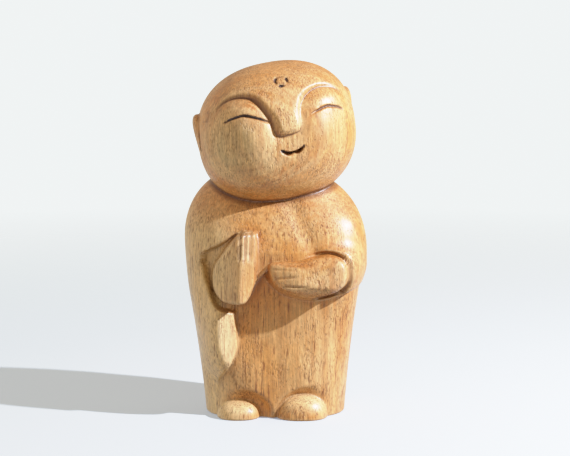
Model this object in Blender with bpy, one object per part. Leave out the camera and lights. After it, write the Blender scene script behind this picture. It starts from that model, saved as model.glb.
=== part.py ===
"""Wooden jizo statue: a small standing monk with a tilted head, cut from one block of wood.

The carving is written as a distance field: each form (head, robe, sleeves, hands, feet) is a function that
gives the distance from a point to its surface, negative inside the wood, and the forms are added to the block
or cut from it. The surface is then found from outside, ring by ring from the base to the crown, and bridged.
Metres, +Z up, the front towards -Y, the base on z = 0 with the middle of the statue's box over the origin.
Left and right are as seen from the front, so +X is to the right.
"""

import math

import bmesh
import bpy
import numpy as np

HEIGHT = 0.200                          # base to crown, in metres
PARTS = 200.7                           # the same height in the carver's measure
PART = HEIGHT / PARTS                   # every size and place below is in parts
TRIANGLES = 9350                        # about how many the finished solid keeps
RINGS = 230
RING_POINTS = 210
CROWN_RINGS = 44                        # the last rings fan up and over the crown
AXIS_Y = -4.0                           # the core that the rings go round stands here
CROWN_FROM = 163.0                      # height of the fan's centre
CORE_HALF = 34.0                        # half width of the flat core that the surface is looked for around
CORE_REACH = 24.0                       # about how far the surface lies from the core
FRONT_CLOSER = 2.2                      # how much closer the columns stand in front than behind
WOOD_COLOUR = (0.60, 0.35, 0.16, 1.0)
WOOD_ROUGHNESS = 0.45

# Robe: an upright with rounded-square sections that widens to the elbows and domes over the shoulders.
BASE_HALF_WIDTH = 39.8
WIDENING_LEFT = 0.133                   # half width gained per part of height
WIDENING_RIGHT = 0.110
ELBOW_HALF_WIDTH = 51.9
ELBOW_FROM, ELBOW_TO = 71.5, 86.0       # the right elbow swells between these heights
WAIST_IN = 0.8                          # the sides run in by this much half way up to the elbows
ROBE_SQUARENESS = 2.5
WAIST_SQUARENESS = 0.6                  # added between the hem and the elbows
ARM_SQUARENESS = 0.9                    # added in front on the right, where the folded arm fills the corner
DOME_SQUARENESS = 2.3
HEM_FRONT = 28.5
CHEST_FRONT = 34.5
CHEST_SLOPE = 0.20                      # how fast the chest leans back above the hands
BACK_DEPTH = 27.0
SHOULDER_BACK = 32.5
SHOULDER_HEIGHT = 94.7
SHOULDER_RISE = 47.0
SHOULDER_TILT = 0.062                   # the left shoulder is carried a little higher
SKIRT_FRONT = 27.0
KNEES = ((16.0, 28.0, 1.4), (-16.0, 26.0, 0.8))   # x, z and how far each knee pushes the cloth

# Front panel sunk below the arms, from the hanging sleeve round to the right elbow.
PANEL_LEFT = ((-36, -12), (-33.5, 8), (-31.4, 21.5), (-25.1, 31.2), (-21.2, 41.5), (-22.0, 54), (-22.8, 63))
PANEL_TOP = ((-15.0, 72.0), (-8.8, 80.6), (-5.0, 84.6), (-2.8, 88.5), (8, 88), (20, 80))
PANEL_RIGHT = ((27, 69.2), (35, 70.5), (43, 73.0), (52, 77.5), (62, 84))
PANEL_OUTSIDE = ((75, 84), (75, -12))
PANEL_DEPTH = 4.0                       # the panel's cut stops at this y, inside the skirt

# Hanging sleeve on the left: a flat cut facing forwards and to the right.
FOLD_CENTRE = (-27.5, -16.0, 50.0)      # the sleeve's weight hangs in one thick fold
FOLD_HALF = (13.0, 20.0, 29.0)
SLEEVE_CUT_AT = (-30.0, -35.0, 45.0)
SLEEVE_CUT_FACING = (0.52, -0.85, 0.03)
SLEEVE_TOP = 63.0
SLEEVE_RIGHT = -14.0

# Sleeve mouth hollowed round the raised hand.
SLEEVE_MOUTH = ((-20, 105.8), (-31, 99.3), (-40.5, 93.8), (-41.2, 84), (-38.6, 75), (-32.4, 63.2), (-14, 63),
                (-14, 96))
SLEEVE_MOUTH_SINK = 5.5
SLEEVE_MOUTH_WALL = (2.1, 4.5)          # how wide the slope into the mouth is at its lip, and on its left

# Right arm, folded in front, and the opening of its sleeve.
ARM_CREASE = ((3, 130), (8.5, 121), (15, 108), (21.5, 95))
ARM_CREASE_WIDTH = 6.0
ARM_CREASE_DEPTH = 1.1
FOREARM_CENTRE = (33.0, -18.0, 84.5)
FOREARM_HALF = (14.5, 19.5, 14.5)
CUFF_GAP = (1.4, 0.2, 2.6)              # the gap round the heel: how far outside it, and its V's half widths
CUFF_FROM = (17.0, 28.0)                # across, where the gap opens and where it is full depth
CUFF_CUT = 2.4

# Raised hand: a wedge of two flat faces that meet on a ridge.
RAISED_HAND = ((-19.5, 106.2), (-14.6, 107.0), (-10.9, 105.4), (-10.2, 98.7), (-10.3, 86.8), (-11.6, 77.6),
               (-15.6, 68.5), (-21.5, 67.0), (-28.4, 67.5), (-33.2, 71.8), (-35.0, 79.0), (-34.0, 87.0),
               (-30.6, 92.6), (-25.6, 99.6))
RAISED_RIDGE_X = -21.6
RAISED_RIDGE_LEAN = 0.075
RAISED_RIDGE_Y = -42.0
RAISED_BACK_FACE = (-0.60, -0.80)
RAISED_FINGER_FACE = (0.34, -0.94)
RAISED_EDGE = 1.8
HAND_BACK = -16.0                       # both hands end here, inside the wood

# Open hand, lying across the front with its fingertips to the left.
OPEN_HAND = ((-3.2, 88.4), (4.0, 89.6), (13.0, 90.2), (21.5, 92.0), (28.0, 93.2), (34.0, 92.2), (38.2, 88.9),
             (39.6, 83.2), (38.6, 77.6), (34.2, 73.6), (26.4, 71.0), (17.4, 70.6), (9.0, 72.4), (2.6, 75.8),
             (-1.6, 80.7))
OPEN_HAND_FACES = (                     # a point on each flat, and the way it faces
    ((14.0, -41.0, 81.0), (0.0, -1.0, 0.06)),
    ((14.0, -40.3, 86.5), (0.0, -0.78, 0.62)),
    ((12.0, -40.9, 81.0), (-0.22, -0.97, 0.05)),
    ((34.0, -40.9, 82.0), (0.47, -0.84, -0.26)),
    ((14.0, -40.3, 75.5), (0.0, -0.80, -0.60)),
)
OPEN_HAND_EDGE = 2.2
OPEN_HAND_DRAFT = (0.35, -36.5)         # the spread of its sides per part of depth, true at this y

# Feet and the coves of the hem above them: x of the middle, half sizes and lean of each foot and each cove.
FEET = (
    (-20.7, (12.4, 13.0, 11.4), -17.2, (16.2, 6.0, 19.6), -0.08),
    (14.9, (14.9, 14.0, 15.0), 15.0, (16.2, 6.0, 20.6), 0.33),
)
FOOT_Y = -20.0
COVE_Y = -28.5

# Head: a squarish ball turned and tipped on the shoulders.
HEAD_CENTRE = (0.7, -7.0, 160.2)
HEAD_HALF = (44.6, 36.0, 39.5)
HEAD_BACK = 37.5
HEAD_SQUARENESS = 2.33
HEAD_SLANT = -0.035                     # the crown is pushed a little to the right
HEAD_TURN = 10.0                        # degrees to the right
HEAD_TIP = 10.3                         # degrees, right side up
EAR_CENTRE = (41.3, 4.5, 6.0)
EAR_HALF = (4.2, 6.5, 12.0)
EAR_FLARE = 0.12                        # the ear leans out towards its top
EAR_FURROW_CENTRE = (44.0, -3.4, 5.5)
EAR_FURROW_HALF = (2.0, 1.3, 9.5)
EAR_BOWL_CENTRE = (48.5, 4.5, 8.0)
EAR_BOWL_HALF = (4.0, 3.0, 8.0)

# Face, in its own across and up directions.
FACE_TIP = 7.0
BROW_EDGE = ((-40, 12), (-37.2, 16.4), (-32.7, 21.9), (-27.1, 25.1), (-21.3, 26.3), (-16.2, 26), (-12.4, 24.4),
             (-9.7, 21), (-7.5, 16.5), (-5.3, 10.9), (-4.3, 6), (-4.0, 2.6), (-3, 1), (0, 0.9), (3.6, 1.7),
             (6.2, 2.4), (7.3, 4.6), (7.2, 8.4), (6.5, 12.1), (6.7, 16), (8, 19.6), (10.6, 22.8), (14.4, 25),
             (18.8, 26), (24, 26.2), (29.5, 25), (34.5, 21.5), (38, 16))
FOREHEAD_TOP = ((60, 14), (60, 80), (-60, 80), (-60, 10))
GROOVE = np.array((                     # how far along the edge, then the V's width and depth there
    (0.00, 0.3, 0.0), (0.06, 1.2, 0.3), (0.14, 2.4, 1.2), (0.21, 3.8, 2.1), (0.27, 5.0, 2.8), (0.33, 4.6, 2.8),
    (0.40, 3.7, 2.3), (0.46, 3.3, 1.9), (0.49, 2.5, 1.9), (0.51, 1.6, 1.8), (0.55, 0.9, 1.2), (0.58, 0.8, 1.0),
    (0.61, 1.3, 1.1), (0.66, 3.1, 1.8), (0.71, 4.0, 2.2), (0.76, 3.9, 2.1), (0.82, 2.8, 1.6), (0.89, 2.6, 1.0),
    (0.95, 2.0, 0.4), (1.00, 1.0, 0.0)))
GROOVE_RISE = 5.5                       # the lid beyond the V climbs back to the ball over about this far
SOCKET = (20.0, 17.0, 12.0, 8.0, 0.3)   # the eye's shallow hollow: across, up, two half widths and depth
NOSE_PROUD = 0.8
CHEEK = (19.0, -1.0, 10.0, 13.0, 1.2)
EYE = ((8.0, 8.0), (12.4, 10.3), (16, 11.8), (20.8, 13.4), (23.7, 13.6), (29.1, 12.2), (32.9, 10.2))
EYE_RIGHT = (1.4, -0.5)                 # the right eye is cut this much further out and lower
EYE_START = (4.0, 0.25)                 # and starts this much further from the nose, at this share of its depth
EYELID = (21.0, 17.0, 11.0, 5.0, 1.0)
EYE_CUT = 1.5
SMILE_ACROSS = 2.2
SMILE_TILT = 0.115
SMILE_HALF_WIDTH = 6.4
SMILE_HEIGHT = -9.0
SMILE_CURL = 2.4
SMILE_OPEN = 1.6
SMILE_CUT = 2.6
LIP_SCOOP = 1.1
LIP_HEIGHT = 3.4
URNA = (1.4, 28.9, 3.2, 2.5)            # across, up and half sizes of the small ring on the forehead
URNA_CUT = 1.1


def blend_max(a, b, radius):
    """The larger of two distances, with the edge where they meet rounded by the radius."""
    near = np.maximum(radius - np.abs(a - b), 0)
    return np.maximum(a, b) + near**2 / (4 * radius)


def blend_min(a, b, radius):
    """The smaller of two distances, with the inner corner where they meet filled by the radius."""
    return -blend_max(-a, -b, radius)


def add(wood, form, radius):
    return blend_min(wood, form, radius)


def cut(wood, tool, radius):
    return blend_max(wood, -tool, radius)


def ramp(value, low, high):
    """0 below low, 1 above high, and a smooth S between them."""
    share = np.clip((value - low) / (high - low), 0, 1)
    return share**2 * (3 - 2 * share)


def bump(x, z, centre_x, centre_z, half_x, half_z):
    """A round swelling, 1 at its centre and fading like a bell."""
    return np.exp(-(((x - centre_x) / half_x) ** 2) - ((z - centre_z) / half_z) ** 2)


def ball(points, centre, half, power):
    """Distance to a squarish ball: the sum of (offset / half size) ** power is 1 on it."""
    share = np.abs(points - centre) / half + 1e-9
    size = (share**power).sum(-1, keepdims=True) ** (1 / power)
    slope = np.sqrt((((share / size) ** (power - 1) / half) ** 2).sum(-1))
    return (size[:, 0] - 1) / slope


def flat(points, point, facing):
    """Distance in front of a plane through the point."""
    facing = np.array(facing) / np.linalg.norm(facing)
    return (points - point) @ facing


def directions(turn, tip):
    """Across, back and up of a form turned to the right and then tipped right side up, as columns."""
    a = math.radians(turn)
    b = math.radians(tip)
    turned = np.array([[math.cos(a), -math.sin(a), 0], [math.sin(a), math.cos(a), 0], [0, 0, 1]])
    tipped = np.array([[math.cos(b), 0, -math.sin(b)], [0, 1, 0], [math.sin(b), 0, math.cos(b)]])
    return turned @ tipped


def curve(corners, closed=False, steps=3):
    """A smooth line through the corners (Catmull-Rom), with this many steps from each to the next."""
    corners = np.array(corners, float)
    if closed:
        padded = np.concatenate([corners[-1:], corners, corners[:2]])
    else:
        padded = np.concatenate([2 * corners[:1] - corners[1:2], corners, 2 * corners[-1:] - corners[-2:-1]])
    t = (np.arange(steps) / steps)[:, None]
    spans = []
    for before, start, end, after in zip(padded, padded[1:], padded[2:], padded[3:]):
        bend = (2 * before - 5 * start + 4 * end - after) * t**2 + (3 * start - before - 3 * end + after) * t**3
        spans.append(start + ((end - before) * t + bend) / 2)
    if not closed:
        spans.append(corners[-1:])
    return np.concatenate(spans)


def line_distance(x, z, line):
    """Distance to an open line in the front view, and how far along it the nearest point is, 0 to 1."""
    steps = np.diff(line, axis=0)
    lengths = np.hypot(*steps.T)
    travelled = np.concatenate([[0], np.cumsum(lengths)])
    nearest = np.full(x.shape, np.inf)
    along = np.zeros(x.shape)
    for (ax, az), (dx, dz), length, before in zip(line, steps, lengths, travelled):
        share = np.clip(((x - ax) * dx + (z - az) * dz) / length**2, 0, 1)
        gap = np.hypot(x - ax - share * dx, z - az - share * dz)
        closer = gap < nearest
        nearest = np.where(closer, gap, nearest)
        along = np.where(closer, (before + share * length) / travelled[-1], along)
    return nearest, along


def outline_distance(x, z, outline):
    """Distance to a closed outline in the front view, negative inside it."""
    nearest, _ = line_distance(x, z, np.concatenate([outline, outline[:1]]))
    inside = np.zeros(x.shape, bool)
    for (ax, az), (bx, bz) in zip(outline, np.roll(outline, -1, axis=0)):
        crossed = (az > z) != (bz > z)
        inside ^= crossed & (x < ax + (bx - ax) * (z - az) / (bz - az + 1e-12))
    return np.where(inside, -nearest, nearest)


def brow_and_nose(across, up):
    """The forehead keeps the ball's own surface and runs down into the nose, which stands a little proud.

    Along its whole edge lies a V: a slanted wall that steepens to its foot, as wide and deep as the groove's
    table says at that place along the edge, then a slope that rises again less and less."""
    edge = curve(BROW_EDGE)
    nearest, along = line_distance(across, up, edge)
    outside = np.where(outline_distance(across, up, np.concatenate([edge, FOREHEAD_TOP])) > 0, nearest, 0)
    wall = np.interp(along, GROOVE[:, 0], GROOVE[:, 1])
    depth = np.interp(along, GROOVE[:, 0], GROOVE[:, 2])
    share = np.clip(outside / wall, 0, 1)
    beyond = np.maximum(outside - wall, 0)
    nose = NOSE_PROUD * (1 - ramp(up, 2, 22)) * (outside == 0) * ramp(nearest, 0, 1.6)
    return nose - depth * share**1.9 * np.exp(-beyond / GROOVE_RISE)


def eyes(across, up):
    """A slit along each closed lid, steep above and sloping below, which thins to nothing at both ends; the lid
    swells over it in a shallow hollow."""
    right = across > 0
    side = np.where(right, across - EYE_RIGHT[0], -across)
    level = np.where(right, up - EYE_RIGHT[1], up)
    eye = curve(EYE)
    gap, along = line_distance(side, level, eye)
    above = np.where(level > np.interp(side, eye[:, 0], eye[:, 1]), gap, -gap)
    slit = np.where(above > 0, 1 - ramp(above, 0, 0.4), 1 - ramp(-above, 0.2, 1.6))
    slit = slit * np.sin(math.pi * along) ** 0.6
    begins = eye[0, 0] + EYE_START[0]
    slit = np.where(right, slit * (EYE_START[1] + (1 - EYE_START[1]) * ramp(side, begins, begins + 6)), slit)
    hollow = SOCKET[4] * bump(side, up, *SOCKET[:4])
    return EYELID[4] * bump(side, up, *EYELID[:4]) - hollow - EYE_CUT * slit


def mouth(across, up):
    """A smiling line that opens into two thin dark lobes, with the lower lip scooped below it."""
    across = across - SMILE_ACROSS
    out = np.clip(np.abs(across) / SMILE_HALF_WIDTH, 0, 1)
    lip = SMILE_HEIGHT + SMILE_CURL * out**2.2 + SMILE_TILT * across
    below = lip - up
    opening = SMILE_OPEN * np.sin(math.pi * (0.12 + 0.88 * out))
    dark = ramp(below, -0.3, 0.15) * (1 - ramp(below - opening, -0.2, 0.5))
    scoop = ramp(below, -0.3, 0.15) * np.clip(1 - below / (LIP_HEIGHT * (1 - 0.7 * out**2)), 0, 1)
    ends = 1 - ramp(np.abs(across) / SMILE_HALF_WIDTH, 0.86, 1.04)
    return -(SMILE_CUT * dark + LIP_SCOOP * scoop) * ends


def urna(across, up):
    """A small flattened ring cut with three short strokes: its depth comes and goes round it."""
    x = (across - URNA[0]) / URNA[2]
    z = (up - URNA[1]) / URNA[3]
    ring = np.abs(np.hypot(x, z) - 1) * URNA[3]
    angle = np.arctan2(z, x)
    stroke = sum(ramp(np.cos(angle - middle), math.cos(reach), math.cos(reach * 0.5))
                 for middle, reach in ((math.pi * 0.95, 0.8), (-math.pi * 0.55, 0.5), (0.1, 0.6)))
    return -URNA_CUT * (1 - ramp(ring, 0.1, 0.75)) * (0.25 + 0.75 * np.minimum(stroke, 1))


def face_relief(across, up):
    """How far the carved face stands out from the ball of the head, by place on the face."""
    cheeks = CHEEK[4] * bump(np.abs(across), up, *CHEEK[:4])
    return brow_and_nose(across, up) + eyes(across, up) + cheeks + urna(across, up) + mouth(across, up)


def head(points):
    """The squarish ball, deeper behind than in front, with the face's relief, and on each side an ear and the
    furrow cut in front of it."""
    local = (points - HEAD_CENTRE) @ directions(HEAD_TURN, HEAD_TIP)
    local[:, 0] += HEAD_SLANT * local[:, 2]
    half = np.tile(HEAD_HALF, (len(local), 1))
    half[:, 1] = np.where(local[:, 1] > 0, HEAD_BACK, HEAD_HALF[1])
    wood = ball(local, (0, 0, 0), half, HEAD_SQUARENESS)
    face = (points - HEAD_CENTRE) @ directions(HEAD_TURN, FACE_TIP)
    front = face[:, 1] < -2
    relief = face_relief(face[front, 0], face[front, 2])
    wood[front] -= relief * ramp(-face[front, 1], 2, 14)
    local[:, 0] = np.abs(local[:, 0]) - EAR_FLARE * (local[:, 2] - EAR_CENTRE[2])
    ear = cut(ball(local, EAR_CENTRE, EAR_HALF, 2.5), ball(local, EAR_BOWL_CENTRE, EAR_BOWL_HALF, 2), 0.8)
    wood = add(wood, ear, 1.2)
    return cut(wood, ball(local, EAR_FURROW_CENTRE, EAR_FURROW_HALF, 2), 1.0)


def upright(points, front):
    """Distance to a rounded-square column that widens to the elbows and domes over the shoulders."""
    x, y, z = points.T
    left = blend_min(BASE_HALF_WIDTH + WIDENING_LEFT * z, ELBOW_HALF_WIDTH + 0 * z, 2.5)
    right = BASE_HALF_WIDTH + WIDENING_RIGHT * np.minimum(z, ELBOW_TO)
    right = right + (ELBOW_HALF_WIDTH - right) * ramp(z, ELBOW_FROM, ELBOW_TO)
    waist = WAIST_IN * np.sin(math.pi * np.clip(z / ELBOW_FROM, 0, 1))
    half_width = np.where(x < 0, left, right) - waist
    half_depth = np.where(y < 0, front, BACK_DEPTH + (SHOULDER_BACK - BACK_DEPTH) * ramp(z, 0, 90))
    square = ROBE_SQUARENESS + WAIST_SQUARENESS * ramp(z, 5, 40) * (1 - ramp(z, 65, 100))
    arm = ramp(x, -5, 20) * ramp(-y, -10, 10) * ramp(z, 55, 80) * (1 - ramp(z, 108, 125))
    square = square + ARM_SQUARENESS * arm
    across = np.abs(x) / half_width + 1e-9
    deep = np.abs(y) / half_depth + 1e-9
    over = np.maximum(z - SHOULDER_HEIGHT + SHOULDER_TILT * x, 0) / SHOULDER_RISE
    section = (across**square + deep**square) ** (1 / square)
    size = (section**DOME_SQUARENESS + over**DOME_SQUARENESS) ** (1 / DOME_SQUARENESS)
    outward = (section / size) ** (DOME_SQUARENESS - 1)
    slope_x = outward * (across / section) ** (square - 1) / half_width
    slope_y = outward * (deep / section) ** (square - 1) / half_depth
    slope_z = (over / size) ** (DOME_SQUARENESS - 1) / SHOULDER_RISE
    return (size - 1) / np.sqrt(slope_x**2 + slope_y**2 + slope_z**2)


def robe(points):
    """The outer robe: chest, shoulders and back."""
    z = points[:, 2]
    front = HEM_FRONT + (CHEST_FRONT - HEM_FRONT) * ramp(z, 12, 60)
    return upright(points, front - CHEST_SLOPE * np.maximum(z - SHOULDER_HEIGHT, 0))


def skirt(points):
    """The under-robe that shows in the sunk panel, pushed out a little by the knees."""
    x, _, z = points.T
    front = HEM_FRONT + (SKIRT_FRONT - HEM_FRONT) * ramp(z, 5, 55)
    for knee_x, knee_z, push in KNEES:
        front = front + push * bump(x, z, knee_x, knee_z, 11, 10)
    return upright(points, front)


def sleeve_mouth(wood, points):
    """The mouth's outline sunk to a floor that follows the robe at an even depth, down a slope that is steep
    under the lip and easier on the left."""
    x, y, z = points.T
    crisp, easy = SLEEVE_MOUTH_WALL
    wall = crisp + (easy - crisp) * ramp(-x, 30, 38) * (1 - ramp(z, 84, 93))
    inside = -outline_distance(x, z, curve(SLEEVE_MOUTH, closed=True, steps=5))
    return wood + SLEEVE_MOUTH_SINK * ramp(inside, 0, wall) * (y < 0)


def sleeves(wood, points):
    """The robe with the hanging sleeve's flat cut and the hollow of the sleeve mouth, and the folded arm."""
    x, y, z = points.T
    wood = add(wood, ball(points, FOLD_CENTRE, FOLD_HALF, 2.4), 5)
    block = np.maximum(np.maximum(x - SLEEVE_RIGHT, z - SLEEVE_TOP - 1), y)
    wood = cut(wood, np.maximum(-flat(points, SLEEVE_CUT_AT, SLEEVE_CUT_FACING), block), 0.4)
    wood = sleeve_mouth(wood, points)
    crease, _ = line_distance(x, z, curve(ARM_CREASE))
    wood = wood + ARM_CREASE_DEPTH * np.exp(-((crease / ARM_CREASE_WIDTH) ** 2)) * (y < 0)
    return add(wood, ball(points, FOREARM_CENTRE, FOREARM_HALF, 2.5), 5)


def raised_hand(points):
    """A wedge with a flat back and a flat finger side, meeting on a ridge that leans to the right."""
    x, y, z = points.T
    from_ridge = x - RAISED_RIDGE_X - RAISED_RIDGE_LEAN * (z - 88)
    proud = y - RAISED_RIDGE_Y - 0.16 * np.maximum(z - 90, 0)
    back = RAISED_BACK_FACE[0] * from_ridge + RAISED_BACK_FACE[1] * proud
    fingers = RAISED_FINGER_FACE[0] * from_ridge + RAISED_FINGER_FACE[1] * proud
    rim = outline_distance(x, z, curve(RAISED_HAND, closed=True))
    return np.maximum(blend_max(blend_max(back, fingers, 0.6), rim, RAISED_EDGE), y - HAND_BACK)


def open_hand(points):
    """A mitten shape with five flats: palm, upper edge, fingers, heel and lower edge."""
    flats = flat(points, *OPEN_HAND_FACES[0])
    for point, facing in OPEN_HAND_FACES[1:]:
        flats = blend_max(flats, flat(points, point, facing), 1.0)
    draft, true_y = OPEN_HAND_DRAFT
    rim = outline_distance(points[:, 0], points[:, 2], curve(OPEN_HAND, closed=True))
    rim = rim - draft * (points[:, 1] - true_y)
    return np.maximum(blend_max(flats, rim, OPEN_HAND_EDGE), points[:, 1] - HAND_BACK)


def hands(wood, points):
    """Both hands added, and a V cut between the open hand's heel and its cuff."""
    x, y, z = points.T
    wood = add(wood, raised_hand(points), 0.8)
    wood = add(wood, open_hand(points), 0.6)
    rim = outline_distance(x, z, curve(OPEN_HAND, closed=True))
    gap = CUFF_CUT * (1 - ramp(np.abs(rim - CUFF_GAP[0]), *CUFF_GAP[1:])) * ramp(x, *CUFF_FROM)
    return wood + gap * (y < 2)


def feet(wood, points):
    """A squarish ball that leans sideways is scooped out of the hem over each foot, then the foot is added."""
    for foot_x, foot_half, cove_x, cove_half, lean in FEET:
        leaning = points - np.outer(points[:, 2], (lean, 0, 0))
        wood = cut(wood, ball(leaning, (cove_x, COVE_Y, 0), cove_half, 2.3), 2.6)
        wood = add(wood, ball(points, (foot_x, FOOT_Y, 0), foot_half, 2.3), 0.8)
    return wood


def statue(points):
    """The whole carving, built up and cut away in the order a carver would."""
    x, y, z = points.T
    wood = sleeves(robe(points), points)
    outline = np.concatenate([curve(PANEL_LEFT), PANEL_TOP, curve(PANEL_RIGHT), PANEL_OUTSIDE])
    wood = cut(wood, np.maximum(outline_distance(x, z, outline), y - PANEL_DEPTH), 1.2)
    wood = add(wood, skirt(points), 1.0)
    wood = feet(hands(wood, points), points)
    return add(wood, head(points), 0.8)


def distance_of(points):
    """The statue's distance at any number of points, worked out a few thousand at a time."""
    return np.concatenate([statue(group) for group in np.array_split(points, len(points) // 4000 + 1)])


def project(points):
    """Move each point along the slope of the field on to the surface; also returns the outward directions."""
    corners = np.array([[1, -1, -1], [-1, -1, 1], [-1, 1, -1], [1, 1, 1]]) * 0.12
    samples = [distance_of(points + corner) for corner in corners]
    slope = sum(np.outer(sample, corner) for sample, corner in zip(samples, corners)) / (4 * 0.12**2)
    steep = (slope**2).sum(-1, keepdims=True)
    move = np.clip(sum(samples) / 4, -2, 2)[:, None] * slope / np.maximum(steep, 0.15)
    return points - move, slope / np.sqrt(steep)


def columns_round():
    """Where each column looks from and which way: from a flat core inside the figure, level and nearly
    straight ahead in front, swinging round at the sides. The columns stand at even weighted lengths round the
    core's reach."""
    turn = np.linspace(-math.pi, math.pi, 1441)
    heading = turn - np.sin(2 * turn) / 2
    x = CORE_HALF * np.sin(turn) + CORE_REACH * np.sin(heading)
    y = -CORE_REACH * np.cos(heading)
    weight = 1 + (FRONT_CLOSER - 1) * ramp(np.cos(turn[1:]), -0.1, 0.35)
    length = np.concatenate([[0], np.cumsum(weight * np.hypot(np.diff(x), np.diff(y)))])
    wanted = np.linspace(0, length[-1], RING_POINTS, endpoint=False)
    turn = np.interp(wanted, length, turn)
    return CORE_HALF * np.sin(turn), turn - np.sin(2 * turn) / 2


def first_surface():
    """Rings of points where straight lines towards the core, level and then fanned over the crown, meet the
    wood: each point steps inwards by three quarters of its distance until it touches."""
    across, heading = columns_round()
    level = np.linspace(-3, CROWN_FROM, RINGS - CROWN_RINGS, endpoint=False)
    height = np.concatenate([level, np.full(CROWN_RINGS, CROWN_FROM)])[:, None]
    lift = np.concatenate([0 * level, np.linspace(0, math.pi / 2, CROWN_RINGS + 1)[:-1]])[:, None]
    start = np.stack(np.broadcast_arrays(np.cos(lift) * across, AXIS_Y, height), -1).reshape(-1, 3)
    away = [np.cos(lift) * np.sin(heading), -np.cos(lift) * np.cos(heading), np.sin(lift) + 0 * heading]
    away = np.stack(away, -1).reshape(-1, 3)
    reach = np.full(len(start), 75.0)
    moving = np.arange(len(start))
    for _ in range(70):
        gap = distance_of(start[moving] + away[moving] * reach[moving, None])
        reach[moving] = np.maximum(reach[moving] - np.maximum(0.75 * gap, 0.02), 0)
        moving = moving[gap > 0.02]
        if not len(moving):
            break
    return (start + away * reach[:, None]).reshape(RINGS, RING_POINTS, 3)


def even_rings(rings):
    """Slide the rings along the surface so that steep places get as many of them as flat ones."""
    lengths = np.linalg.norm(np.diff(rings, axis=0), axis=-1)
    for _ in range(6):
        lengths = (np.roll(lengths, 1, 1) + 2 * lengths + np.roll(lengths, -1, 1)) / 4
    travelled = np.concatenate([np.zeros((1, RING_POINTS)), np.cumsum(lengths, 0)])
    travelled /= travelled[-1]
    wanted = np.linspace(0, 1, RINGS)
    even = np.empty_like(rings)
    for column in range(RING_POINTS):
        for axis in range(3):
            even[:, column, axis] = np.interp(wanted, travelled[:, column], rings[:, column, axis])
    return even


def settle(rings):
    """Spread the points evenly over the surface, keeping them on it."""
    for strength in [0] * 2 + [0.6] * 9:
        around = np.roll(rings, 1, 1) + np.roll(rings, -1, 1)
        pull = np.zeros_like(rings)
        pull[1:-1] = (rings[2:] + rings[:-2] + around[1:-1]) / 4 - rings[1:-1]
        flat_points, outward = project(rings.reshape(-1, 3))
        outward = outward.reshape(rings.shape)
        pull -= (pull * outward).sum(-1, keepdims=True) * outward
        rings = flat_points.reshape(rings.shape) + strength * pull
    return project(rings.reshape(-1, 3))[0].reshape(rings.shape)


def wood_material():
    material = bpy.data.materials.new("wood")
    material.use_nodes = True
    shader = material.node_tree.nodes["Principled BSDF"]
    shader.inputs["Base Color"].default_value = WOOD_COLOUR
    shader.inputs["Roughness"].default_value = WOOD_ROUGHNESS
    shader.inputs["Metallic"].default_value = 0.0
    return material


def add_object(name, mesh_builder):
    mesh = bpy.data.meshes.new(name)
    mesh_builder.to_mesh(mesh)
    mesh_builder.free()
    obj = bpy.data.objects.new(name, mesh)
    bpy.context.scene.collection.objects.link(obj)
    return obj


def carve():
    """Bridge the rings into one closed skin, thin it out, and saw the block off level at z = 0."""
    skin = bmesh.new()
    edges = []
    for ring in settle(even_rings(first_surface())) * PART:
        corners = [skin.verts.new(point) for point in ring]
        loop = [skin.edges.new(pair) for pair in zip(corners, corners[1:] + corners[:1])]
        if edges:
            bmesh.ops.bridge_loops(skin, edges=edges + loop)
        else:
            skin.faces.new(corners)
        edges = loop
    skin.faces.new(corners)
    bmesh.ops.recalc_face_normals(skin, faces=skin.faces)
    obj = add_object("jizo_statue", skin)
    obj.data.materials.append(wood_material())

    thin = obj.modifiers.new("thin", "DECIMATE")
    thin.ratio = TRIANGLES / (2 * RINGS * RING_POINTS)
    below = bmesh.new()
    bmesh.ops.create_cube(below, size=HEIGHT)
    ground = add_object("ground", below)
    ground.location = (0, 0, -HEIGHT / 2)
    ground.hide_render = True
    ground.display_type = "WIRE"
    saw = obj.modifiers.new("saw", "BOOLEAN")
    saw.operation = "DIFFERENCE"
    saw.object = ground
    return obj


def centre_over_origin(obj):
    bpy.context.view_layer.update()
    box = np.array(obj.evaluated_get(bpy.context.evaluated_depsgraph_get()).bound_box)
    middle = (box.min(0) + box.max(0)) / 2
    obj.location = (-middle[0], -middle[1], 0)


for old in list(bpy.data.objects):
    bpy.data.objects.remove(old, do_unlink=True)
centre_over_origin(carve())
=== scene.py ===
import math
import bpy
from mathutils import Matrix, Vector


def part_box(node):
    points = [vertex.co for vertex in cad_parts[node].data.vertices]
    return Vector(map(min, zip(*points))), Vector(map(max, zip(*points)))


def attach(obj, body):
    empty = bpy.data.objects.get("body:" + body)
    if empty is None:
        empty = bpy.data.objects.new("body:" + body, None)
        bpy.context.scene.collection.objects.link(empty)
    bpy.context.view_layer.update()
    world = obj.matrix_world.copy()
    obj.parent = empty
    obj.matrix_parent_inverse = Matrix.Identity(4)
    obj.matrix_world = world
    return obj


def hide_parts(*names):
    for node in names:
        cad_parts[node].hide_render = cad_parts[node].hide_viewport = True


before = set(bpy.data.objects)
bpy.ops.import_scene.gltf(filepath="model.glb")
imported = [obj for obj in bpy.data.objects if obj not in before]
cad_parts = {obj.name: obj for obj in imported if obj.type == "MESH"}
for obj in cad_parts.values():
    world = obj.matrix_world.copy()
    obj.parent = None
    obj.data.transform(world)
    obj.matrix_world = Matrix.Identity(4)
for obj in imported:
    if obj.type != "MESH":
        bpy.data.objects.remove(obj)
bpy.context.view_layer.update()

from multiprocessing.pool import ThreadPool

import bpy
import numpy as np
from mathutils import Vector

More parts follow.
